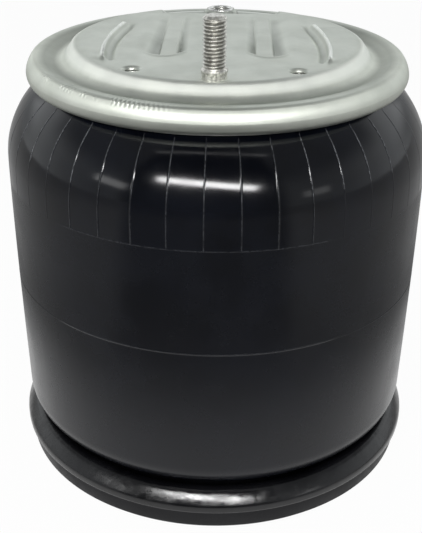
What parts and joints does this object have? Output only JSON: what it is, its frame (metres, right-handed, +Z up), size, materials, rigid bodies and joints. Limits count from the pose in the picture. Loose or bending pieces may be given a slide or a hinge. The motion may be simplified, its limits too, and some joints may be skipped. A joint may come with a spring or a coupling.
{
  "type": "rolling lobe air spring",
  "caption": "Rolling lobe air spring: a stamped top plate with a mounting stud, crimped over a rubber sleeve that rolls down a flared piston.",
  "frame": {"origin": "centre of the base's underside, where the spring stands", "axes": "+Z up along the stroke and the spring's axis of revolution; -Y towards the mounting stud's side, +Y towards the air inlet"},
  "size_m": [0.26, 0.26, 0.3],
  "materials": {
    "galvanised_sheet": "galvanised sheet steel, satin, with faint forming marks",
    "zinc_stud": "zinc plated thread with oily dark roots",
    "zinc_fixing": "bright zinc plate",
    "bead_wire": "drawn steel wire",
    "sleeve_rubber": "moulded black rubber, semi-gloss, with fine mould vent lines",
    "seal_rubber": "smooth black rubber",
    "bumper_rubber": "matt black moulded rubber",
    "plain_steel": "plain pressed steel with a light oil film",
    "gloss_black_paint": "gloss black enamel",
    "satin_black_paint": "satin black paint"
  },
  "bodies": {
    "piston": {"piston_shell": "gloss_black_paint", "base_plate": "satin_black_paint", "base_weld_nuts": "zinc_fixing", "support_column": "plain_steel", "stiffener_plates": "plain_steel", "piston_nut": "zinc_fixing", "piston_bolt": "zinc_fixing", "bolt_washer": "zinc_fixing", "bumper_retainer": "plain_steel", "bumper": "bumper_rubber", "closure_seal": "seal_rubber", "end_closure": "plain_steel", "lower_bead_wire": "bead_wire", "sleeve_inner_wall": "sleeve_rubber"},
    "upper_plate": {"bead_plate": "galvanised_sheet", "mounting_stud": "zinc_stud", "blind_nut_left": "zinc_fixing", "blind_nut_right": "zinc_fixing", "air_inlet": "zinc_fixing", "upper_bead_wire": "bead_wire", "sleeve_outer_wall": "sleeve_rubber"},
    "lobe": {"rolling_lobe": "sleeve_rubber"}
  },
  "joints": [
    {"name": "stroke", "type": "slide", "parent": "piston", "child": "upper_plate", "axis": [0, 0, 1], "range_m": [-0.004, 0.2], "stiffness_N_per_m": 3000, "springref_m": 0.008, "deforming": ["sleeve_outer_wall"]},
    {"name": "lobe_roll", "type": "slide", "parent": "piston", "child": "lobe", "axis": [0, 0, 1], "range_m": [-0.002, 0.1], "deforming": ["sleeve_inner_wall"]}
  ],
  "couplings": [
    {"joint": "lobe_roll", "follows": "stroke", "ratio": 0.5}
  ]
}
